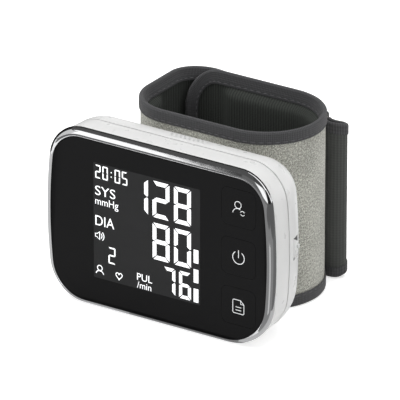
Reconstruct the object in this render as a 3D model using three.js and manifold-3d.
// Wrist blood pressure monitor: a moulded housing with a glossy panel, and an inflatable wrist cuff.
// Millimetres. Inside the unit group, x runs right along the face, y runs back from the panel's front,
// and z runs up from the middle of the face.
import * as THREE from 'three';
import { mergeVertices } from 'three/addons/utils/BufferGeometryUtils.js';
import Module from 'manifold-3d';

const wasm = await Module();
wasm.setup();

// Fits
const CLEARANCE = 0.3;
const SEAT = 0.2;

// Face outline: straight top and bottom, bowed sides, round corners
const FACE_WIDTH = 90.9;
const FACE_HEIGHT = 64;
const SIDE_BOW_RADIUS = 190;
const LEFT_CORNER_RADIUS = 13.4;
const RIGHT_CORNER_RADIUS = 15;
const LEAST_CORNER = 0.4;

// Bezel, shells and panel
const BEZEL_WIDTH = 2.2;
const BEZEL_DEPTH = 2.6;
const PANEL_THICKNESS = 1.6;
const PANEL_CHAMFER = 0.5;
const SHELL_WALL = 1.8;
const SHOULDER_WALL = 1.4;
const DECK_THICKNESS = 1.2;
const PARTING_DEPTH = 11.8;
const HOUSING_DEPTH = 26.6;
const SHELL_DRAFT = 0.5;
const REAR_STEP = 2 * CLEARANCE + SHELL_DRAFT;
const REAR_ROUNDING = 11;
const LIP_HEIGHT = 1.4;
const LIP_WALL = 0.9;

// Display
const WINDOW_FROM_LEFT = 19.75;
const WINDOW_FROM_KEYS = 15.2;
const WINDOW_FROM_TOP = 10.95;
const WINDOW_Z = 0.4;
const GASKET_BORDER = 1.8;
const GASKET_THICKNESS = 0.8;
const GLASS_BORDER = 2.6;
const GLASS_THICKNESS = 1.8;
const BACKLIGHT_THICKNESS = 1.8;

// Keys and their switches
const KEY_SIZE = 13.5;
const KEY_RADIUS = 2.4;
const KEY_ROW_INSET = 14.1;
const KEY_FROM_SIDE = 13.35;
const KEY_Z = 0.6;
const KEY_FLANGE = 0.8;
const KEY_FLANGE_THICKNESS = 0.8;
const KEY_TRAVEL = 0.6;
const SWITCH_SIZE = 6;
const SWITCH_HEIGHT = 2.4;
const PLUNGER_RADIUS = 1.7;
const PLUNGER_REACH = 0.8;
const STEM_RADIUS = 2.2;

// Main board
const BOARD_THICKNESS = 1.2;
const BOARD_FROM_LEFT = 16.85;
const BOARD_FROM_RIGHT = 5.45;
const BOARD_FROM_TOP = 4.6;
const BOARD_CORNER = 7;
const CHIP_SIZE = 10;
const CHIP_HEIGHT = 1.6;

// Battery bay and door
const CELL_RADIUS = 5.15;
const CELL_LENGTH = 44.5;
const CELL_NUB_RADIUS = 1.9;
const CELL_NUB_LENGTH = 1;
const CELL_FROM_SIDE = 11.15;
const CELL_GAP = 0.5;
const CONTACT_THICKNESS = 0.6;
const BAY_WALL = 1;
const DOOR_WIDTH = 16.85;
const DOOR_FRONT = 20.9;
const DOOR_HALF_HEIGHT = 21.5;
const DOOR_SKIN = 1.5;
const TONGUE_HEIGHT = 7.2;
const TONGUE_Z = 0.2;
const TONGUE_FRONT = 16.2;
const TONGUE_RIB = 0.7;
const NOTCH_RUN = 3;
const NOTCH_RISE = 1.8;

// Speaker grille in the top of the rear shell
const GRILLE_FROM_SCREW = 12.6;
const GRILLE_Y = 16.4;
const GRILLE_HOLE_RADIUS = 0.5;
const GRILLE_PITCH = 1.75;
const GRILLE_ROWS = [8, 9, 8];
const SPEAKER_WIDTH = 17;
const SPEAKER_DEPTH = 6.4;
const SPEAKER_HEIGHT = 4;

// Air system
const PUMP_FROM_SIDE = 10.45;
const PUMP_Y = 13.8;
const PUMP_BOTTOM = -15;
const MOTOR_RADIUS = 6;
const MOTOR_LENGTH = 19;
const HEAD_WIDTH = 10;
const HEAD_DEPTH = 11;
const HEAD_LENGTH = 10;
const PORT_RADIUS = 1.5;
const PORT_LENGTH = 2.4;
const TUBE_RADIUS = 2;
const TUBE_BORE = 1;
const VALVE_SIZE = 8;
const VALVE_LENGTH = 13;
const VALVE_FROM_BOARD_EDGE = 8.6;
const VALVE_Z = -14;
const SENSOR_SIZE = 7;
const SENSOR_HEIGHT = 2.4;
const TEE_X = -8;
const TEE_RADIUS = 2.4;
const TEE_ARM = 5;
const NIPPLE_X = -2;
const NIPPLE_RADIUS = 2.2;
const NIPPLE_BORE = 1.1;
const NIPPLE_FLANGE = 4.5;

// Fasteners
const OUTER_SCREW_FROM_SIDE = 8.85;
const OUTER_SCREW_FROM_TOP = 9;
const INNER_SCREW_FROM_SIDE = 30.85;
const INNER_SCREW_FROM_TOP = 5;
const SCREW_HEAD_RADIUS = 2;
const SCREW_HEAD_HEIGHT = 1.4;
const SCREW_SHANK_RADIUS = 1.1;
const SCREW_REACH = 8;
const BOSS_WALL = 1.2;
const RIVET_SPOTS = [[-13, 13], [10, 13], [-13, -13], [10, -13]];
const RIVET_RADIUS = 1.5;
const RIVET_HEAD_RADIUS = 2.8;

// Cuff layers, measured inwards from the outer face of the cloth
const CLOTH = 0.8;
const LAYER_GAP = 0.25;
const STIFFENER = 0.6;
const RIVET_HEAD = 0.5;
const BLADDER = 1;
const LINING = 0.6;
const HOOK_TAPE = 0.6;
const TAPE = 0.6;
const TAPE_HEIGHT = 4.5;

// Cuff loop in plan, outer face of the cloth, and its height
const CUFF_HEIGHT = 65;
const CUFF_LEFT = -32.1;
const CUFF_RIGHT = 32.8;
const LOOP_DEPTH = 39.8;
const FRONT_CORNER = 16;
const TAIL_CORNER = 12;
const TIP_START_ANGLE = 168;
const TIP_CORNER = 14;
const SPLIT_INSET = 2;
const FLAP_LEAVE_ANGLE = 60;
const FLARE_RADIUS = 10;
const FLARE_ANGLE = 40;
const TAB_STRAIGHT = 3;
const TAB_THICKNESS = 3.4;
const TAB_SLIT = 1;
const FLAP_TOP_DROP = 6.5;
const FLAP_BOTTOM_RISE = 1;
const TAB_CORNER = 4;
const BLADDER_MARGIN = 7;
const STIFFENER_MARGIN = 5.4;
const BAND_STEP = 5;
const STRAIGHT_STEP = 10;

// Places on the face that follow from the sizes above
const HALF_WIDTH = FACE_WIDTH / 2;
const HALF_HEIGHT = FACE_HEIGHT / 2;
const KEY_X = HALF_WIDTH - KEY_FROM_SIDE;
const KEY_PITCH = HALF_HEIGHT - KEY_ROW_INSET;
const WINDOW_LEFT = WINDOW_FROM_LEFT - HALF_WIDTH;
const WINDOW_RIGHT = KEY_X - WINDOW_FROM_KEYS;
const WINDOW_WIDTH = WINDOW_RIGHT - WINDOW_LEFT;
const WINDOW_X = (WINDOW_LEFT + WINDOW_RIGHT) / 2;
const WINDOW_HEIGHT = FACE_HEIGHT - 2 * WINDOW_FROM_TOP;
const BOARD_LEFT = BOARD_FROM_LEFT - HALF_WIDTH;
const BOARD_RIGHT = HALF_WIDTH - BOARD_FROM_RIGHT;
const BOARD_HALF_HEIGHT = HALF_HEIGHT - BOARD_FROM_TOP;
const CELL_X = HALF_WIDTH - CELL_FROM_SIDE;
const DOOR_LEFT = HALF_WIDTH - DOOR_WIDTH;
const PUMP_X = PUMP_FROM_SIDE - HALF_WIDTH;
const VALVE_X = BOARD_LEFT + VALVE_FROM_BOARD_EDGE;
const OUTER_SCREW_X = OUTER_SCREW_FROM_SIDE - HALF_WIDTH;
const OUTER_SCREW_Z = HALF_HEIGHT - OUTER_SCREW_FROM_TOP;
const INNER_SCREW_X = HALF_WIDTH - INNER_SCREW_FROM_SIDE;
const INNER_SCREW_Z = HALF_HEIGHT - INNER_SCREW_FROM_TOP;
const GRILLE_X = INNER_SCREW_X - GRILLE_FROM_SCREW;
const SCREW_SPOTS = [
  [OUTER_SCREW_X, OUTER_SCREW_Z], [OUTER_SCREW_X, -OUTER_SCREW_Z],
  [INNER_SCREW_X, INNER_SCREW_Z], [INNER_SCREW_X, -INNER_SCREW_Z]];

// Levels behind the panel that follow from the sizes above
const PANEL_BACK = PANEL_THICKNESS;
const DECK_FRONT = PANEL_BACK + CLEARANCE;
const DECK_BACK = DECK_FRONT + DECK_THICKNESS;
const GASKET_FRONT = PANEL_BACK + SEAT;
const GLASS_FRONT = GASKET_FRONT + GASKET_THICKNESS + SEAT;
const BACKLIGHT_FRONT = GLASS_FRONT + GLASS_THICKNESS + SEAT;
const BOARD_FRONT = BACKLIGHT_FRONT + BACKLIGHT_THICKNESS + SEAT;
const BOARD_BACK = BOARD_FRONT + BOARD_THICKNESS;
const REAR_FRONT = PARTING_DEPTH + CLEARANCE;
const BAY_FLOOR = BOARD_BACK + CLEARANCE;
const CELL_Y = BAY_FLOOR + BAY_WALL + CLEARANCE + CELL_RADIUS;
const RIM_STACK = CLOTH + LAYER_GAP + HOOK_TAPE;
const CUFF_FRONT = HOUSING_DEPTH + CLEARANCE;
const TAPE_OUT = SEAT + TAPE;
const WRAP_STEP = RIM_STACK + 2 * TAPE_OUT + CLEARANCE;
const LOOP_RADIUS = LOOP_DEPTH / 2;
const LOOP_BACK = CUFF_FRONT + LOOP_DEPTH;
const FLAP_BACK = LOOP_BACK + WRAP_STEP;
const OVERALL_DEPTH = FLAP_BACK + TAPE_OUT;
const CUFF_BOTTOM = -FACE_HEIGHT / 2;
const CUFF_TOP = CUFF_BOTTOM + CUFF_HEIGHT;

// Materials
const finish = (color, roughness, metalness = 0) =>
  new THREE.MeshStandardMaterial({ color, roughness, metalness });
const white = () => finish(0xf2f2f0, 0.4);
const gloss = () => finish(0x161618, 0.1);
const chrome = () => finish(0xd8dadd, 0.08, 1);
const steel = () => finish(0xb9bcc0, 0.35, 1);
const cloth = () => finish(0x9d9a95, 0.95);
const tape = () => finish(0x4b4b4e, 0.9);
const lining = () => finish(0x2b2d2b, 0.95);
const board = () => finish(0x1f5a38, 0.6);
const dark = () => finish(0x26272a, 0.6);
const silicone = () => finish(0xd7d9d6, 0.5);

// Joining and cutting
function toSolid(geometry) {
  const bare = geometry.clone();
  bare.deleteAttribute('normal');
  bare.deleteAttribute('uv');
  const merged = mergeVertices(bare, 1e-4);
  const mesh = new wasm.Mesh({
    numProp: 3,
    vertProperties: Float32Array.from(merged.attributes.position.array),
    triVerts: Uint32Array.from(merged.index.array),
  });
  return new wasm.Manifold(mesh);
}

function toGeometry(solid) {
  const mesh = solid.getMesh();
  const geometry = new THREE.BufferGeometry();
  geometry.setAttribute('position', new THREE.BufferAttribute(mesh.vertProperties, 3));
  geometry.setIndex(new THREE.BufferAttribute(mesh.triVerts, 1));
  geometry.computeVertexNormals();
  return geometry;
}

function cut(body, tools) {
  return toGeometry(tools.reduce((solid, tool) => solid.subtract(toSolid(tool)), toSolid(body)));
}

function join(body, extras) {
  return toGeometry(extras.reduce((solid, extra) => solid.add(toSolid(extra)), toSolid(body)));
}

function clip(body, tool) {
  return toGeometry(toSolid(body).intersect(toSolid(tool)));
}

// Skins a row of equal rings into one closed surface
function skin(rings, section, looped = false) {
  const count = rings[0].length;
  const positions = rings.flat().flatMap((point) => [point.x, point.y, point.z]);
  const faces = [];
  const last = looped ? rings.length : rings.length - 1;
  for (let i = 0; i < last; i += 1) {
    const here = i * count;
    const next = ((i + 1) % rings.length) * count;
    for (let k = 0; k < count; k += 1) {
      const k2 = (k + 1) % count;
      faces.push([here + k, here + k2, next + k2], [here + k, next + k2, next + k]);
    }
  }
  if (!looped) {
    const contour = THREE.ShapeUtils.isClockWise(section) ? section.slice().reverse() : section;
    const index = (k) => (contour === section ? k : count - 1 - k);
    const lid = THREE.ShapeUtils.triangulateShape(contour, []).map((face) => face.map(index));
    const lidFaces = contour === section ? lid : lid.map(([a, b, c]) => [c, b, a]);
    const end = (rings.length - 1) * count;
    lidFaces.forEach(([a, b, c]) => faces.push([c, b, a], [end + a, end + b, end + c]));
  }
  const corner = (index) => new THREE.Vector3().fromArray(positions, 3 * index);
  const volume = faces.reduce(
    (sum, [a, b, c]) => sum + corner(a).dot(corner(b).cross(corner(c))), 0);
  const outward = volume > 0 ? faces : faces.map(([a, b, c]) => [a, c, b]);
  const geometry = new THREE.BufferGeometry();
  geometry.setAttribute('position', new THREE.Float32BufferAttribute(positions, 3));
  geometry.setIndex(outward.flat());
  geometry.computeVertexNormals();
  return geometry;
}

// Outlines in the face plane
function faceOutline(inset) {
  const halfHeight = FACE_HEIGHT / 2 - inset;
  const sideRadius = SIDE_BOW_RADIUS - inset;
  const bowCentre = FACE_WIDTH / 2 - SIDE_BOW_RADIUS;
  const cornerOf = (fullRadius) => {
    const radius = Math.max(fullRadius - inset, LEAST_CORNER);
    const z = halfHeight - radius;
    const x = bowCentre + Math.sqrt((sideRadius - radius) ** 2 - z ** 2);
    return { radius, x, z, lean: Math.atan2(z, x - bowCentre) };
  };
  const left = cornerOf(LEFT_CORNER_RADIUS);
  const right = cornerOf(RIGHT_CORNER_RADIUS);
  const shape = new THREE.Shape();
  shape.absarc(bowCentre, 0, sideRadius, -right.lean, right.lean);
  shape.absarc(right.x, right.z, right.radius, right.lean, Math.PI / 2);
  shape.absarc(-left.x, left.z, left.radius, Math.PI / 2, Math.PI - left.lean);
  shape.absarc(-bowCentre, 0, sideRadius, Math.PI - left.lean, Math.PI + left.lean);
  shape.absarc(-left.x, -left.z, left.radius, Math.PI + left.lean, 1.5 * Math.PI);
  shape.absarc(right.x, -right.z, right.radius, 1.5 * Math.PI, 2 * Math.PI - right.lean);
  return shape;
}

function roundedRect(width, height, radius) {
  const w = width / 2;
  const h = height / 2;
  const r = Math.min(radius, w, h);
  const shape = new THREE.Shape();
  shape.absarc(w - r, h - r, r, 0, Math.PI / 2);
  shape.absarc(r - w, h - r, r, Math.PI / 2, Math.PI);
  shape.absarc(r - w, r - h, r, Math.PI, 1.5 * Math.PI);
  shape.absarc(w - r, r - h, r, 1.5 * Math.PI, 2 * Math.PI);
  return shape;
}

function ringPoints(shape, divisions) {
  const points = shape.getPoints(divisions);
  const distinct = points.filter((p, i) => p.distanceTo(points[(i + 1) % points.length]) > 1e-6);
  return distinct;
}

// Lofts an outline through [inset, y] stations, closed by a flat face at each end
function loft(outlineAt, stations, divisions = 3) {
  const outlines = stations.map(([inset]) => ringPoints(outlineAt(inset), divisions));
  const rings = stations.map(([, y], i) => outlines[i].map((p) => new THREE.Vector3(p.x, y, p.y)));
  return skin(rings, outlines[0]);
}

// Runs a closed [inset, y] section round an outline
function frameRing(outlineAt, section, divisions = 3) {
  const rings = section.map(([inset, y]) =>
    ringPoints(outlineAt(inset), divisions).map((p) => new THREE.Vector3(p.x, y, p.y)));
  return skin(rings, null, true);
}

// A plate cut from a face-plane shape, from one depth to another
function plate(shape, yFront, yBack, divisions = 4) {
  const geometry = new THREE.ExtrudeGeometry(
    shape, { depth: yBack - yFront, bevelEnabled: false, curveSegments: divisions });
  return geometry.rotateX(Math.PI / 2).translate(0, yBack, 0);
}

function block(x0, x1, y0, y1, z0, z1) {
  const geometry = new THREE.BoxGeometry(x1 - x0, y1 - y0, z1 - z0);
  return geometry.translate((x0 + x1) / 2, (y0 + y1) / 2, (z0 + z1) / 2);
}

// A round bar along y, between two depths
function pin(radius, y0, y1, x = 0, z = 0, sides = 12) {
  return new THREE.CylinderGeometry(radius, radius, y1 - y0, sides).translate(x, (y0 + y1) / 2, z);
}

// A revolved [radius, height] profile, turned about z
function turned(profile, sides = 20) {
  const geometry = new THREE.LatheGeometry(profile.map(([r, h]) => new THREE.Vector2(r, h)), sides);
  return geometry.rotateX(Math.PI / 2);
}

const monitor = new THREE.Group();
const unit = new THREE.Group();
unit.position.set(0, -OVERALL_DEPTH / 2, FACE_HEIGHT / 2);
monitor.add(unit);

function piece(name, geometry, material, x = 0, y = 0, z = 0) {
  const mesh = new THREE.Mesh(geometry, material);
  mesh.name = name;
  mesh.position.set(x, y, z);
  unit.add(mesh);
  return mesh;
}

const keyNames = ['user', 'power', 'memory'];
const keySpots = keyNames.map((name, i) => ({ name, z: KEY_Z + (1 - i) * KEY_PITCH }));

// Chrome bezel: a quarter-round front on a straight foot
function makeBezel() {
  const arcSteps = 5;
  const section = [];
  for (let i = 0; i <= arcSteps; i += 1) {
    const turn = (i / arcSteps) * Math.PI / 2;
    section.push([BEZEL_WIDTH * (1 - Math.sin(turn)), BEZEL_WIDTH * (1 - Math.cos(turn))]);
  }
  section.push([0, BEZEL_DEPTH], [BEZEL_WIDTH, BEZEL_DEPTH]);
  piece('chrome_bezel', frameRing(faceOutline, section, 4), chrome());
}

// Glossy panel with a chamfered edge and one opening for each key
function makePanel() {
  const edge = BEZEL_WIDTH + CLEARANCE;
  const stations = [[edge + PANEL_CHAMFER, 0], [edge, PANEL_CHAMFER], [edge, PANEL_BACK]];
  const opening = KEY_SIZE + 2 * CLEARANCE;
  const openings = keySpots.map(({ z }) =>
    plate(roundedRect(opening, opening, KEY_RADIUS + CLEARANCE), -1, PANEL_BACK + 1, 5)
      .translate(KEY_X, 0, z));
  piece('front_panel', cut(loft(faceOutline, stations, 4), openings), gloss());
}

// A key: a cap flush with the panel, a flange behind it and a stem over the switch
function makeKeys() {
  const bodyFront = BOARD_FRONT - SEAT - SWITCH_HEIGHT;
  const plungerFront = bodyFront - PLUNGER_REACH;
  const plungerBack = bodyFront + PLUNGER_REACH + KEY_TRAVEL;
  const flangeFront = PANEL_BACK + CLEARANCE;
  const capAt = (inset) =>
    roundedRect(KEY_SIZE - 2 * inset, KEY_SIZE - 2 * inset, Math.max(KEY_RADIUS - inset, LEAST_CORNER));
  const capEdge = CLEARANCE;
  keySpots.forEach(({ name, z }) => {
    const cap = loft(capAt, [[capEdge, 0], [0, capEdge], [0, flangeFront + SEAT]], 2);
    const flange = plate(
      roundedRect(KEY_SIZE + 2 * KEY_FLANGE, KEY_SIZE + 2 * KEY_FLANGE, KEY_RADIUS + KEY_FLANGE),
      flangeFront, flangeFront + KEY_FLANGE_THICKNESS, 2);
    const stem = pin(STEM_RADIUS, flangeFront + KEY_FLANGE_THICKNESS / 2, plungerFront - SEAT);
    piece(`key_${name}`, join(cap, [flange, stem]), gloss(), KEY_X, 0, z);
    const well = pin(PLUNGER_RADIUS + CLEARANCE, bodyFront - 1, plungerBack + KEY_TRAVEL + SEAT);
    const body = plate(roundedRect(SWITCH_SIZE, SWITCH_SIZE, 0.5), bodyFront, BOARD_FRONT - SEAT, 1);
    piece(`switch_${name}`, cut(body, [well]), dark(), KEY_X, 0, z);
    const plunger = pin(PLUNGER_RADIUS, plungerFront, plungerBack);
    piece(`plunger_${name}`, plunger, finish(0x8d2f2a, 0.6), KEY_X, 0, z);
  });
}

// Front shell: a stepped shell whose deck carries the panel, the display and the keys
function makeFrontShell() {
  const step = BEZEL_WIDTH + CLEARANCE;
  const shoulder = BEZEL_DEPTH + SEAT;
  const outside = loft(faceOutline,
    [[step, DECK_FRONT], [step, shoulder], [CLEARANCE, shoulder], [CLEARANCE + SHELL_DRAFT, PARTING_DEPTH]]);
  const wall = CLEARANCE + SHELL_WALL;
  const inside = loft(faceOutline, [
    [step + SHELL_WALL, DECK_BACK], [step + SHELL_WALL, shoulder + SHOULDER_WALL],
    [wall, shoulder + SHOULDER_WALL], [wall + SHELL_DRAFT, PARTING_DEPTH + 1]]);
  const module = 2 * (GLASS_BORDER + CLEARANCE);
  const display = plate(roundedRect(WINDOW_WIDTH + module, WINDOW_HEIGHT + module, 1), 0, DECK_BACK + 1)
    .translate(WINDOW_X, 0, WINDOW_Z);
  const roomBorder = KEY_FLANGE + CLEARANCE;
  const keyRoom = roundedRect(KEY_SIZE + 2 * roomBorder, KEY_SIZE + 2 * roomBorder, KEY_RADIUS + roomBorder);
  const keyOpenings = keySpots.map(({ z }) =>
    plate(keyRoom, 0, DECK_BACK + 1).translate(KEY_X, 0, z));
  const bossRadius = SCREW_SHANK_RADIUS + SEAT + BOSS_WALL;
  const bossEnd = PARTING_DEPTH - LIP_HEIGHT;
  const bosses = SCREW_SPOTS.map(([x, z]) => pin(bossRadius, DECK_BACK - SEAT, bossEnd, x, z));
  const pilots = SCREW_SPOTS.map(([x, z]) =>
    pin(SCREW_SHANK_RADIUS + SEAT, DECK_BACK + SEAT, PARTING_DEPTH + 1, x, z));
  const shell = join(cut(outside, [inside]), bosses);
  piece('front_shell', cut(shell, [display, ...keyOpenings, ...pilots]), white());
}

// The rear shell's outer form, drawn in by a skin thickness, with a straight neck towards the front
function rearForm(skinThickness, neck = []) {
  const reach = HOUSING_DEPTH - REAR_FRONT - skinThickness;
  const steps = 6;
  const stations = [...neck];
  for (let i = 0; i <= steps; i += 1) {
    const turn = (i / steps) * Math.PI / 2;
    const inset = REAR_STEP + skinThickness + REAR_ROUNDING * (1 - Math.cos(turn));
    stations.push([inset, REAR_FRONT + reach * Math.sin(turn)]);
  }
  return loft(faceOutline, stations);
}

// The same form open towards the front, for cutting a shell out
function rearHollow(skinThickness) {
  return rearForm(skinThickness, [[REAR_STEP + skinThickness, REAR_FRONT - 1]]);
}

// The bay's room for two cells and their contacts
const bay = {
  right: CELL_X + CELL_RADIUS + CLEARANCE,
  left: CELL_X - 3 * CELL_RADIUS - CELL_GAP - CLEARANCE,
  halfHeight: CELL_LENGTH / 2 + CELL_NUB_LENGTH + CONTACT_THICKNESS + 3 * SEAT,
};

function doorRegion(gap) {
  const far = FACE_WIDTH;
  const panel = block(DOOR_LEFT - gap, far, DOOR_FRONT - gap, far,
    -DOOR_HALF_HEIGHT - gap, DOOR_HALF_HEIGHT + gap);
  const half = TONGUE_HEIGHT / 2 + gap;
  const near = DOOR_LEFT + CELL_RADIUS;
  const tongue = block(near, far, TONGUE_FRONT - gap, DOOR_FRONT + 1, TONGUE_Z - half, TONGUE_Z + half);
  return join(panel, [tongue]);
}

// A finger notch beside the tongue, cut through the side wall from the cells outwards
function fingerNotch() {
  const level = TONGUE_Z + TONGUE_HEIGHT / 2;
  const far = TONGUE_FRONT + NOTCH_RUN;
  const corners = [[TONGUE_FRONT, level], [far, level], [far, level + NOTCH_RISE]];
  const shape = new THREE.Shape(corners.map(([y, z]) => new THREE.Vector2(y, z)));
  const depth = FACE_WIDTH / 2;
  const turn = new THREE.Matrix4().makeBasis(
    new THREE.Vector3(0, 1, 0), new THREE.Vector3(0, 0, 1), new THREE.Vector3(1, 0, 0));
  return new THREE.ExtrudeGeometry(shape, { depth, bevelEnabled: false })
    .applyMatrix4(turn).translate(CELL_X + CELL_RADIUS, 0, 0);
}

function grilleHoles() {
  const holes = [];
  GRILLE_ROWS.forEach((count, row) => {
    for (let i = 0; i < count; i += 1) {
      const x = GRILLE_X + (i - (count - 1) / 2) * GRILLE_PITCH;
      const y = GRILLE_Y + (row - (GRILLE_ROWS.length - 1) / 2) * GRILLE_PITCH * Math.sqrt(0.75);
      const drill = new THREE.CylinderGeometry(GRILLE_HOLE_RADIUS, GRILLE_HOLE_RADIUS, FACE_HEIGHT / 4, 6);
      holes.push(drill.rotateX(Math.PI / 2).translate(x, y, FACE_HEIGHT / 2));
    }
  });
  return holes;
}

// Rear shell: a domed shell with a lip, screw posts, the battery bay, a pump cradle and the grille
function makeRearShell() {
  const shell = cut(rearForm(0), [rearHollow(SHELL_WALL)]);
  const lipOut = SHELL_WALL + REAR_STEP;
  const lipSection = [[lipOut, REAR_FRONT - LIP_HEIGHT], [lipOut, REAR_FRONT + LIP_HEIGHT],
    [lipOut + LIP_WALL, REAR_FRONT + LIP_HEIGHT], [lipOut + LIP_WALL, REAR_FRONT - LIP_HEIGHT]];
  const lip = frameRing(faceOutline, lipSection);
  const web = SHELL_WALL / 2;
  const room = rearForm(web, [[lipOut, DECK_BACK], [lipOut, REAR_FRONT - SEAT / 2]]);
  const bayWalls = cut(
    block(bay.left - BAY_WALL, FACE_WIDTH, BAY_FLOOR, HOUSING_DEPTH, -bay.halfHeight - BAY_WALL,
      bay.halfHeight + BAY_WALL),
    [block(bay.left, FACE_WIDTH, BAY_FLOOR + BAY_WALL, HOUSING_DEPTH, -bay.halfHeight, bay.halfHeight)]);
  const postRadius = SCREW_HEAD_RADIUS + SEAT + BOSS_WALL;
  const postStart = REAR_FRONT - LIP_HEIGHT + SEAT;
  const posts = SCREW_SPOTS.map(([x, z]) => pin(postRadius, postStart, HOUSING_DEPTH, x, z));
  const ribSpots = [PUMP_BOTTOM + MOTOR_LENGTH / 4, PUMP_BOTTOM + 3 * MOTOR_LENGTH / 4];
  const ribHalf = BAY_WALL / 2;
  const cradle = MOTOR_RADIUS + CLEARANCE;
  const cradleLine = [[0, -MOTOR_LENGTH], [cradle, -MOTOR_LENGTH], [cradle, MOTOR_LENGTH], [0, MOTOR_LENGTH]];
  const motorRoom = turned(cradleLine).translate(PUMP_X, PUMP_Y, 0);
  const ribLeft = PUMP_X - MOTOR_RADIUS;
  const ribRight = PUMP_X + MOTOR_RADIUS;
  const ribs = ribSpots.map((z) =>
    cut(block(ribLeft, ribRight, PUMP_Y, HOUSING_DEPTH, z - ribHalf, z + ribHalf), [motorRoom]));
  const inside = [bayWalls, ...posts, ...ribs].map((part) => clip(part, room));
  const shanks = SCREW_SPOTS.map(([x, z]) =>
    pin(SCREW_SHANK_RADIUS + SEAT, 0, HOUSING_DEPTH, x, z));
  const heads = SCREW_SPOTS.map(([x, z]) =>
    pin(SCREW_HEAD_RADIUS + SEAT, REAR_FRONT + BOSS_WALL, HOUSING_DEPTH + 1, x, z));
  const rivetHole = RIVET_RADIUS + CLEARANCE;
  const rivets = RIVET_SPOTS.map(([x, z]) => pin(rivetHole, REAR_FRONT, HOUSING_DEPTH + 1, x, z));
  const nipple = pin(NIPPLE_RADIUS + CLEARANCE, REAR_FRONT, HOUSING_DEPTH + 1, NIPPLE_X, 0);
  const body = join(shell, [lip, ...inside]);
  const openings = [doorRegion(CLEARANCE), fingerNotch(), ...grilleHoles()];
  piece('rear_shell',
    cut(body, [...openings, ...shanks, ...heads, ...rivets, nipple]), white());
}

// Battery door: a piece of the rear form's skin with a latch tongue and a thumb rib
function makeBatteryDoor() {
  const skinOnly = cut(rearForm(0), [rearHollow(DOOR_SKIN)]);
  const door = clip(skinOnly, doorRegion(0));
  const ribY = (TONGUE_FRONT + DOOR_FRONT) / 2;
  const ribForm = clip(
    cut(rearForm(-TONGUE_RIB), [rearHollow(DOOR_SKIN / 2)]),
    block(DOOR_LEFT, FACE_WIDTH, ribY - TONGUE_RIB, ribY + TONGUE_RIB,
      TONGUE_Z - TONGUE_HEIGHT / 3, TONGUE_Z + TONGUE_HEIGHT / 3));
  piece('battery_door', join(door, [ribForm]), white());
}

// Display module: foam gasket, glass and backlight block
function makeDisplay() {
  const border = (margin) => roundedRect(WINDOW_WIDTH + 2 * margin, WINDOW_HEIGHT + 2 * margin, 1);
  const gasketShape = border(GASKET_BORDER);
  gasketShape.holes.push(border(0));
  const gasket = plate(gasketShape, GASKET_FRONT, GASKET_FRONT + GASKET_THICKNESS, 2);
  piece('display_gasket', gasket, dark(), WINDOW_X, 0, WINDOW_Z);
  const glass = plate(border(GLASS_BORDER), GLASS_FRONT, GLASS_FRONT + GLASS_THICKNESS, 2);
  piece('display_glass', glass, finish(0x303236, 0.1), WINDOW_X, 0, WINDOW_Z);
  const backlight = plate(border(GLASS_BORDER), BACKLIGHT_FRONT, BACKLIGHT_FRONT + BACKLIGHT_THICKNESS, 2);
  piece('display_backlight', backlight, white(), WINDOW_X, 0, WINDOW_Z);
}

// Main board with its controller, cut round the front shell's screw bosses
function makeBoard() {
  const width = BOARD_RIGHT - BOARD_LEFT;
  const sheet = plate(roundedRect(width, 2 * BOARD_HALF_HEIGHT, BOARD_CORNER), BOARD_FRONT, BOARD_BACK)
    .translate((BOARD_LEFT + BOARD_RIGHT) / 2, 0, 0);
  const room = SCREW_SHANK_RADIUS + SEAT + BOSS_WALL + CLEARANCE;
  const notches = SCREW_SPOTS.map(([x, z]) => pin(room, BOARD_FRONT - 1, BOARD_BACK + 1, x, z));
  piece('main_board', cut(sheet, notches), board());
  const chipFront = BOARD_BACK + SEAT;
  const chip = plate(roundedRect(CHIP_SIZE, CHIP_SIZE, 0.4), chipFront, chipFront + CHIP_HEIGHT, 1);
  piece('controller_chip', chip, dark(), SENSOR_SIZE, 0, -VALVE_LENGTH);
}

// Speaker: a slot speaker under the grille
function makeSpeaker() {
  const back = GRILLE_Y + SPEAKER_DEPTH / 2;
  const lean = Math.asin((back - REAR_FRONT) / (HOUSING_DEPTH - SHELL_WALL - REAR_FRONT));
  const top = FACE_HEIGHT / 2 - REAR_STEP - REAR_ROUNDING * (1 - Math.cos(lean)) - SHELL_WALL - 2 * CLEARANCE;
  const body = block(-SPEAKER_WIDTH / 2, SPEAKER_WIDTH / 2, -SPEAKER_DEPTH / 2, SPEAKER_DEPTH / 2,
    -SPEAKER_HEIGHT, -SPEAKER_HEIGHT / 4);
  const cone = new THREE.CylinderGeometry(SPEAKER_DEPTH / 2 - CLEARANCE, SPEAKER_DEPTH / 2 - CLEARANCE,
    SPEAKER_HEIGHT / 2, 16).rotateX(Math.PI / 2).translate(0, 0, -SPEAKER_HEIGHT / 4);
  piece('speaker', join(body, [cone]), dark(), GRILLE_X, GRILLE_Y, top);
}

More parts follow.
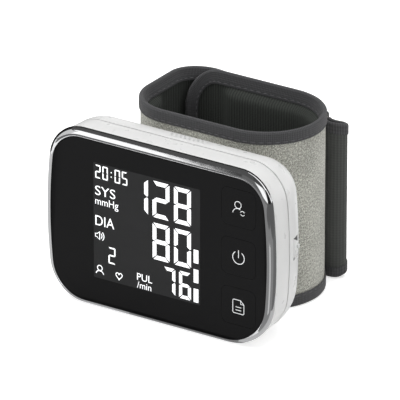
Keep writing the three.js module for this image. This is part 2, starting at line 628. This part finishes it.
// Air system: motor, diaphragm head, valve, sensor and the tubes that join them at a tee
function makeAirSystem() {
  const motor = turned([[0, 0], [MOTOR_RADIUS - 1, 0], [MOTOR_RADIUS, 1], [MOTOR_RADIUS, MOTOR_LENGTH],
    [0, MOTOR_LENGTH]], 24);
  piece('pump_motor', motor, steel(), PUMP_X, PUMP_Y, PUMP_BOTTOM);
  const headBottom = PUMP_BOTTOM + MOTOR_LENGTH + CLEARANCE;
  const headBlock = block(-HEAD_WIDTH / 2, HEAD_WIDTH / 2, -HEAD_DEPTH / 2, HEAD_DEPTH / 2, 0, HEAD_LENGTH);
  const portZ = HEAD_LENGTH / 2;
  const port = new THREE.CylinderGeometry(PORT_RADIUS, PORT_RADIUS, PORT_LENGTH + 1, 12)
    .rotateZ(Math.PI / 2).translate((HEAD_WIDTH + PORT_LENGTH - 1) / 2, 0, portZ);
  piece('pump_head', join(headBlock, [port]), finish(0x3a3c40, 0.5), PUMP_X, PUMP_Y, headBottom);

  const seat = BOARD_BACK + SEAT;
  const valveSide = VALVE_SIZE / 2;
  const valveEnd = VALVE_LENGTH / 2;
  const valveBlock = block(-valveSide, valveSide, seat, seat + VALVE_SIZE, -valveEnd, valveEnd);
  const valveMid = seat + VALVE_SIZE / 2;
  const valvePort = new THREE.CylinderGeometry(PORT_RADIUS, PORT_RADIUS, PORT_LENGTH + 1, 12)
    .rotateX(Math.PI / 2).translate(0, valveMid, (VALVE_LENGTH + PORT_LENGTH - 1) / 2);
  piece('exhaust_valve', join(valveBlock, [valvePort]), steel(), VALVE_X, 0, VALVE_Z);

  const teeZ = headBottom + portZ;
  const sensor = plate(roundedRect(SENSOR_SIZE, SENSOR_SIZE, 0.5), seat, seat + SENSOR_HEIGHT, 1);
  const sensorTop = seat + SENSOR_HEIGHT;
  piece('pressure_sensor', join(sensor, [pin(PORT_RADIUS, sensorTop - 1, PUMP_Y - TEE_RADIUS - SEAT)]),
    finish(0xc9c2ae, 0.5), TEE_X, 0, teeZ);

  const run = new THREE.CylinderGeometry(TEE_RADIUS, TEE_RADIUS, 2 * TEE_ARM, 12).rotateZ(Math.PI / 2);
  const branch = new THREE.CylinderGeometry(TEE_RADIUS, TEE_RADIUS, TEE_ARM, 12)
    .rotateX(Math.PI / 2).translate(0, 0, -TEE_ARM / 2);
  piece('air_tee', join(run, [branch]), silicone(), TEE_X, PUMP_Y, teeZ);

  const section = new THREE.Shape();
  section.absarc(0, 0, TUBE_RADIUS, 0, 2 * Math.PI);
  const bore = new THREE.Path();
  bore.absarc(0, 0, TUBE_BORE, 0, 2 * Math.PI);
  section.holes.push(bore);
  const tube = (name, points, steps) => {
    const path = new THREE.CatmullRomCurve3(points.map((p) => new THREE.Vector3(...p)));
    const geometry = new THREE.ExtrudeGeometry(section, { extrudePath: path, steps, curveSegments: 4 });
    piece(name, geometry, silicone());
  };
  const headPortEnd = PUMP_X + HEAD_WIDTH / 2 + PORT_LENGTH + SEAT;
  tube('tube_pump', [[headPortEnd, PUMP_Y, teeZ], [TEE_X - TEE_ARM - SEAT, PUMP_Y, teeZ]], 1);
  const valveTop = VALVE_Z + VALVE_LENGTH / 2 + PORT_LENGTH + SEAT;
  tube('tube_valve', [
    [VALVE_X, valveMid, valveTop],
    [VALVE_X, valveMid, valveTop + TUBE_RADIUS],
    [(VALVE_X + TEE_X) / 2, PUMP_Y, (valveTop + teeZ - TEE_ARM) / 2 - TUBE_RADIUS],
    [TEE_X, PUMP_Y, teeZ - TEE_ARM - TUBE_RADIUS],
    [TEE_X, PUMP_Y, teeZ - TEE_ARM - SEAT]], 8);
  const nippleFront = HOUSING_DEPTH - SHELL_WALL - 2 * NIPPLE_RADIUS;
  tube('tube_cuff', [
    [TEE_X + TEE_ARM + SEAT, PUMP_Y, teeZ],
    [TEE_X + TEE_ARM + SEAT + TUBE_RADIUS, PUMP_Y, teeZ],
    [NIPPLE_X + 2 * TUBE_RADIUS, (PUMP_Y + nippleFront) / 2, teeZ / 2],
    [NIPPLE_X, nippleFront - TUBE_RADIUS, 0],
    [NIPPLE_X, nippleFront - SEAT, 0]], 8);

  const flangeBack = CUFF_FRONT + CLOTH + STIFFENER + 2 * LAYER_GAP + RIVET_HEAD;
  const shaft = pin(NIPPLE_RADIUS, nippleFront, flangeBack - RIVET_HEAD / 2);
  const flange = pin(NIPPLE_FLANGE, flangeBack - RIVET_HEAD + SEAT / 2, flangeBack, 0, 0, 20);
  const nippleBore = pin(NIPPLE_BORE, nippleFront - 1, flangeBack + 1, 0, 0, 10);
  piece('cuff_nipple', cut(join(shaft, [flange]), [nippleBore]), silicone(), NIPPLE_X, 0, 0);
}

// Two cells side by side, one each way up, with their contacts
function makeCells() {
  const half = CELL_LENGTH / 2;
  const cell = [[0, -half], [CELL_RADIUS - 0.6, -half], [CELL_RADIUS, 0.6 - half], [CELL_RADIUS, half - 0.6],
    [CELL_RADIUS - 0.6, half], [CELL_NUB_RADIUS, half], [CELL_NUB_RADIUS, half + CELL_NUB_LENGTH],
    [0, half + CELL_NUB_LENGTH]];
  const pitch = 2 * CELL_RADIUS + CELL_GAP;
  piece('cell_right', turned(cell), finish(0x2c4a70, 0.35, 0.4), CELL_X, CELL_Y, 0);
  const second = piece('cell_left', turned(cell), finish(0x2c4a70, 0.35, 0.4), CELL_X - pitch, CELL_Y, 0);
  second.rotation.x = Math.PI;
  const reach = half + CELL_NUB_LENGTH + SEAT;
  const tab = (x0, x1, side) => {
    const z = side * (reach + CONTACT_THICKNESS / 2);
    const leaf = block(x0, x1, CELL_Y - CELL_RADIUS / 2, CELL_Y + CELL_RADIUS / 2,
      z - CONTACT_THICKNESS / 2, z + CONTACT_THICKNESS / 2);
    return leaf;
  };
  const dome = (x, side) => {
    const height = CELL_NUB_LENGTH - SEAT / 2;
    const bump = turned([[0, 0], [CELL_RADIUS / 2, 0], [CELL_RADIUS / 4, height], [0, height]], 12);
    bump.rotateX(side > 0 ? Math.PI : 0);
    return bump.translate(x, CELL_Y, side * (reach + CONTACT_THICKNESS / 4));
  };
  const left = CELL_X - pitch;
  const arm = CELL_RADIUS / 2;
  piece('contact_bridge', join(tab(left - arm, CELL_X + arm, -1), [dome(CELL_X, -1)]), steel());
  piece('contact_positive', tab(CELL_X - arm, CELL_X + arm, 1), steel());
  piece('contact_negative', join(tab(left - arm, left + arm, 1), [dome(left, 1)]), steel());
}

// Case screws in the posts, and the rivets that hold the cuff to the rear shell
function makeFasteners() {
  const headFront = REAR_FRONT + BOSS_WALL + SEAT - CLEARANCE;
  SCREW_SPOTS.forEach(([x, z], i) => {
    const head = pin(SCREW_HEAD_RADIUS, headFront + SEAT, headFront + SEAT + SCREW_HEAD_HEIGHT);
    const shank = pin(SCREW_SHANK_RADIUS, headFront + SEAT - SCREW_REACH, headFront + 2 * SEAT);
    piece(`case_screw_${i + 1}`, join(head, [shank]), steel(), x, 0, z);
  });
  const headBack = CUFF_FRONT + CLOTH + STIFFENER + 2 * LAYER_GAP + RIVET_HEAD;
  RIVET_SPOTS.forEach(([x, z], i) => {
    const head = pin(RIVET_HEAD_RADIUS, headBack - RIVET_HEAD + SEAT / 2, headBack);
    const shank = pin(RIVET_RADIUS, HOUSING_DEPTH - SHELL_WALL, headBack - RIVET_HEAD / 2);
    piece(`cuff_rivet_${i + 1}`, join(head, [shank]), dark(), x, 0, z);
  });
}

// The band's path in plan, on the cloth's outer face: tip, back, right, front, left, then the flap
function makeBandPath() {
  const radians = THREE.MathUtils.degToRad;
  const tailX = CUFF_LEFT + TAIL_CORNER;
  const tailY = FLAP_BACK - TAIL_CORNER;
  const rightX = CUFF_RIGHT - LOOP_RADIUS;
  const midY = CUFF_FRONT + LOOP_RADIUS;
  const path = new THREE.CurvePath();
  const arc = (x, y, radius, from, to) =>
    path.add(new THREE.EllipseCurve(x, y, radius, radius, radians(from), radians(to), to < from, 0));
  const line = (x0, y0, x1, y1) =>
    path.add(new THREE.LineCurve(new THREE.Vector2(x0, y0), new THREE.Vector2(x1, y1)));
  const marks = {};
  const mark = (name) => {
    path.updateArcLengths();
    marks[name] = path.getLength();
  };
  arc(tailX, tailY, TAIL_CORNER - WRAP_STEP, TIP_START_ANGLE, 90);
  mark('tipEnd');
  line(tailX, LOOP_BACK, rightX, LOOP_BACK);
  arc(rightX, midY, LOOP_RADIUS, 90, -90);
  line(rightX, CUFF_FRONT, CUFF_LEFT + FRONT_CORNER, CUFF_FRONT);
  arc(CUFF_LEFT + FRONT_CORNER, CUFF_FRONT + FRONT_CORNER, FRONT_CORNER, -90, -180);
  mark('leftStart');
  line(CUFF_LEFT, CUFF_FRONT + FRONT_CORNER, CUFF_LEFT, tailY);
  mark('tailStart');
  arc(tailX, tailY, TAIL_CORNER, 180, 90);
  mark('tailEnd');
  line(tailX, FLAP_BACK, rightX, FLAP_BACK);
  const flapRadius = LOOP_RADIUS + WRAP_STEP;
  arc(rightX, midY, flapRadius, 90, FLAP_LEAVE_ANGLE);
  mark('tabStart');
  const leave = radians(FLAP_LEAVE_ANGLE);
  const flareX = rightX + (flapRadius + FLARE_RADIUS) * Math.cos(leave);
  const flareY = midY + (flapRadius + FLARE_RADIUS) * Math.sin(leave);
  arc(flareX, flareY, FLARE_RADIUS, FLAP_LEAVE_ANGLE - 180, FLAP_LEAVE_ANGLE - 180 + FLARE_ANGLE);
  const out = radians(FLAP_LEAVE_ANGLE - 180 + FLARE_ANGLE);
  const endX = flareX + FLARE_RADIUS * Math.cos(out);
  const endY = flareY + FLARE_RADIUS * Math.sin(out);
  line(endX, endY, endX - TAB_STRAIGHT * Math.sin(out), endY + TAB_STRAIGHT * Math.cos(out));
  mark('end');
  marks.split = marks.tailEnd + SPLIT_INSET;
  const stations = [];
  let run = 0;
  path.curves.forEach((curve) => {
    const step = curve.isLineCurve ? STRAIGHT_STEP : BAND_STEP;
    stations.push(...evenRuns(run, run + curve.getLength(), step).slice(1));
    run += curve.getLength();
  });
  // The point at a run s along the band, an offset outwards from the cloth's face and a height
  const at = (s, offset, z) => {
    const t = THREE.MathUtils.clamp(s / marks.end, 0, 1);
    const p = path.getPoint(t);
    const tangent = path.getTangent(t);
    return new THREE.Vector3(p.x - offset * tangent.y, p.y + offset * tangent.x, z);
  };
  return { at, marks, stations };
}

const band = makeBandPath();

function evenRuns(from, to, step) {
  const count = Math.max(1, Math.ceil((to - from) / step - 1e-6));
  return Array.from({ length: count + 1 }, (_, i) => from + (to - from) * i / count);
}

// Stations between two runs: every layer shares them, so that the layers' facets lie side by side
function runs(from, to) {
  const inside = band.stations.filter((s) => s > from + SEAT && s < to - SEAT);
  return [from, ...inside, to];
}

// The height of the band's edge less a margin: round at the tip, level round the wrist, sloping on the flap
function bandEdge(s, side, margin = 0) {
  const { tailStart, end } = band.marks;
  const slope = THREE.MathUtils.clamp((s - tailStart) / (end - tailStart), 0, 1);
  const level = side > 0 ? CUFF_TOP - FLAP_TOP_DROP * slope : CUFF_BOTTOM + FLAP_BOTTOM_RISE * slope;
  const toCorner = Math.max(0, TIP_CORNER - s);
  const rise = Math.sqrt(Math.max(0, (TIP_CORNER - margin) ** 2 - toCorner ** 2));
  return level - side * (TIP_CORNER - rise);
}

function bandLayer(stations, sectionAt) {
  const sections = stations.map(sectionAt);
  const rings = stations.map((s, i) => sections[i].map(([offset, z]) => band.at(s, offset, z)));
  return skin(rings, sections[0].map(([offset, z]) => new THREE.Vector2(offset, z)));
}

function flatLayer(stations, outer, thickness, margin) {
  return bandLayer(stations, (s) => {
    const top = bandEdge(s, 1, margin);
    const bottom = bandEdge(s, -1, margin);
    return [[outer, bottom], [outer, top], [outer - thickness, top], [outer - thickness, bottom]];
  });
}

// Tip stations are closer together, where the edge turns round the corner
const tipRuns = evenRuns(0, TIP_CORNER, TIP_CORNER / 7);
const bodyRuns = (to) => [...tipRuns, ...runs(TIP_CORNER, to).slice(1)];
const edgeInset = TAPE + SEAT;
const bladderFace = CLOTH + STIFFENER + RIVET_HEAD + 3 * LAYER_GAP;
const liningFace = bladderFace + BLADDER + LAYER_GAP;
const bladderRun = { from: TIP_CORNER + BLADDER_MARGIN, to: band.marks.leftStart };

// How far the lining stands off the cloth: full over the bladder, none at the edges
function padding(s, fromEdge) {
  const ease = (value) => THREE.MathUtils.smoothstep(value, 0, 1);
  const along = Math.min(
    ease((s - bladderRun.from + BLADDER_MARGIN) / BLADDER_MARGIN),
    ease((bladderRun.to + BLADDER_MARGIN - s) / BLADDER_MARGIN));
  const across = ease((fromEdge - TAPE_HEIGHT) / (BLADDER_MARGIN - TAPE_HEIGHT));
  return along * across;
}

function makeCuff() {
  const { split } = band.marks;
  const mainRuns = bodyRuns(split - CLEARANCE / 2);
  const nearTip = mainRuns.filter((s) => s >= edgeInset);
  const mainLayer = [edgeInset, ...nearTip];
  const holes = (radiusExtra) => [
    ...RIVET_SPOTS.map(([x, z]) =>
      pin(RIVET_RADIUS + radiusExtra, HOUSING_DEPTH, CUFF_FRONT + LOOP_RADIUS / 2, x, z)),
    pin(NIPPLE_RADIUS + radiusExtra, HOUSING_DEPTH, CUFF_FRONT + LOOP_RADIUS / 2, NIPPLE_X, 0)];
  piece('cuff_cloth', cut(flatLayer(mainLayer, 0, CLOTH, edgeInset), holes(CLEARANCE)), cloth());

  const paddedRuns = runs(bladderRun.from, bladderRun.to);
  const stiffener = flatLayer(paddedRuns, -CLOTH - LAYER_GAP, STIFFENER, STIFFENER_MARGIN);
  piece('cuff_stiffener', cut(stiffener, holes(CLEARANCE)), finish(0xe8e6e0, 0.5));

  const bladder = flatLayer(paddedRuns, -bladderFace, BLADDER, BLADDER_MARGIN + LINING);
  piece('cuff_bladder', bladder, finish(0x8a8c90, 0.6));

  const thinFace = CLOTH + LAYER_GAP;
  const levels = [edgeInset, TAPE_HEIGHT, (TAPE_HEIGHT + BLADDER_MARGIN) / 2, BLADDER_MARGIN];
  const liningLayer = bandLayer(mainLayer, (s) => {
    const top = bandEdge(s, 1, edgeInset) + edgeInset;
    const bottom = bandEdge(s, -1, edgeInset) - edgeInset;
    const face = (fromEdge) => -thinFace - (liningFace - thinFace) * padding(s, fromEdge);
    const up = levels.map((level) => [face(level), bottom + level]);
    const down = levels.slice().reverse().map((level) => [face(level), top - level]);
    const outer = [...up, ...down];
    const inner = outer.slice().reverse().map(([offset, z]) => [offset - LINING, z]);
    return [...outer, ...inner];
  });
  piece('cuff_lining', liningLayer, lining());
}

// Folded tape over an edge: a section of [offset, depth from the edge]
function tapeSection() {
  const outer = TAPE_OUT;
  const inner = -RIM_STACK - TAPE_OUT;
  const half = TAPE_HEIGHT / 2;
  return [[outer, TAPE_HEIGHT], [outer, TAPE / 2], [outer - TAPE / 2, 0], [inner + TAPE / 2, 0],
    [inner, TAPE / 2], [inner, TAPE_HEIGHT], [inner + TAPE, TAPE_HEIGHT], [inner + TAPE, half],
    [inner + TAPE, TAPE], [outer - TAPE, TAPE], [outer - TAPE, half], [outer - TAPE, TAPE_HEIGHT]];
}

function bindEdge(edge) {
  const section = tapeSection();
  const rings = edge.map(({ s, z, inS, inZ }) =>
    section.map(([offset, depth]) => band.at(s + depth * inS, offset, z + depth * inZ)));
  return skin(rings, section.map(([offset, depth]) => new THREE.Vector2(offset, depth)));
}

function makeBinding() {
  const { split, end, tabStart } = band.marks;
  const level = (side, list) => list.map((s) => ({ s, z: bandEdge(s, side), inS: 0, inZ: -side }));
  const corner = (side) => {
    const steps = 8;
    const cz = bandEdge(TIP_CORNER, side) - side * TIP_CORNER;
    return Array.from({ length: steps + 1 }, (_, i) => {
      const turn = (i / steps) * Math.PI / 2;
      const away = { s: -Math.sin(turn), z: side * Math.cos(turn) };
      return {
        s: TIP_CORNER * (1 + away.s), z: cz + TIP_CORNER * away.z, inS: -away.s, inZ: -away.z,
      };
    });
  };
  const rest = runs(TIP_CORNER, split - CLEARANCE / 2).slice(1);
  const edge = [
    ...level(1, rest.slice().reverse()), ...corner(1), ...corner(-1).reverse(), ...level(-1, rest)];
  piece('cuff_binding', bindEdge(edge), tape());
  const flapRuns = runs(split + CLEARANCE / 2, tabStart - CLEARANCE);
  piece('flap_binding_top', bindEdge(level(1, flapRuns)), tape());
  piece('flap_binding_bottom', bindEdge(level(-1, flapRuns)), tape());
  piece('flap_cloth', flatLayer(flapRuns, 0, CLOTH, edgeInset), cloth());
  piece('flap_hook', flatLayer(flapRuns, -CLOTH - LAYER_GAP, HOOK_TAPE, edgeInset), lining());

  const middle = -RIM_STACK / 2;
  const bend = TAB_THICKNESS / 2;
  const straightRuns = evenRuns(tabStart, end - bend, BAND_STEP / 2);
  const tabRuns = [...straightRuns, ...evenRuns(end - bend, end, bend / 4).slice(1)];
  const tabLevel = (s, side) => {
    const into = Math.max(0, s - end + TAB_CORNER);
    const roundOff = TAB_CORNER - Math.sqrt(TAB_CORNER ** 2 - Math.min(into, TAB_CORNER * 0.98) ** 2);
    return bandEdge(s, side) - side * (side < 0 ? roundOff : roundOff / 4);
  };
  const bar = (list, halfAt) => bandLayer(list, (s) => {
    const half = halfAt(s);
    return [[middle + half, tabLevel(s, -1)], [middle + half, tabLevel(s, 1)],
      [middle - half, tabLevel(s, 1)], [middle - half, tabLevel(s, -1)]];
  });
  const round = (s) => {
    const into = Math.max(0, s - end + bend);
    return bend * Math.sqrt(Math.max(1 - (into / bend) ** 2, 0.04));
  };
  const slitRuns = evenRuns(tabStart + TAB_THICKNESS, end - bend, BAND_STEP / 2);
  const slit = bandLayer(slitRuns, () => {
    const half = TAB_SLIT / 2;
    return [[middle + half, -CUFF_HEIGHT], [middle + half, CUFF_HEIGHT],
      [middle - half, CUFF_HEIGHT], [middle - half, -CUFF_HEIGHT]];
  });
  piece('pull_tab', cut(bar(tabRuns, round), [slit]), finish(0x444844, 0.9));
}

makePanel();
makeBezel();
makeFrontShell();
makeRearShell();
makeBatteryDoor();
makeKeys();
makeDisplay();
makeBoard();
makeSpeaker();
makeAirSystem();
makeCells();
makeFasteners();
makeCuff();
makeBinding();

export default monitor;
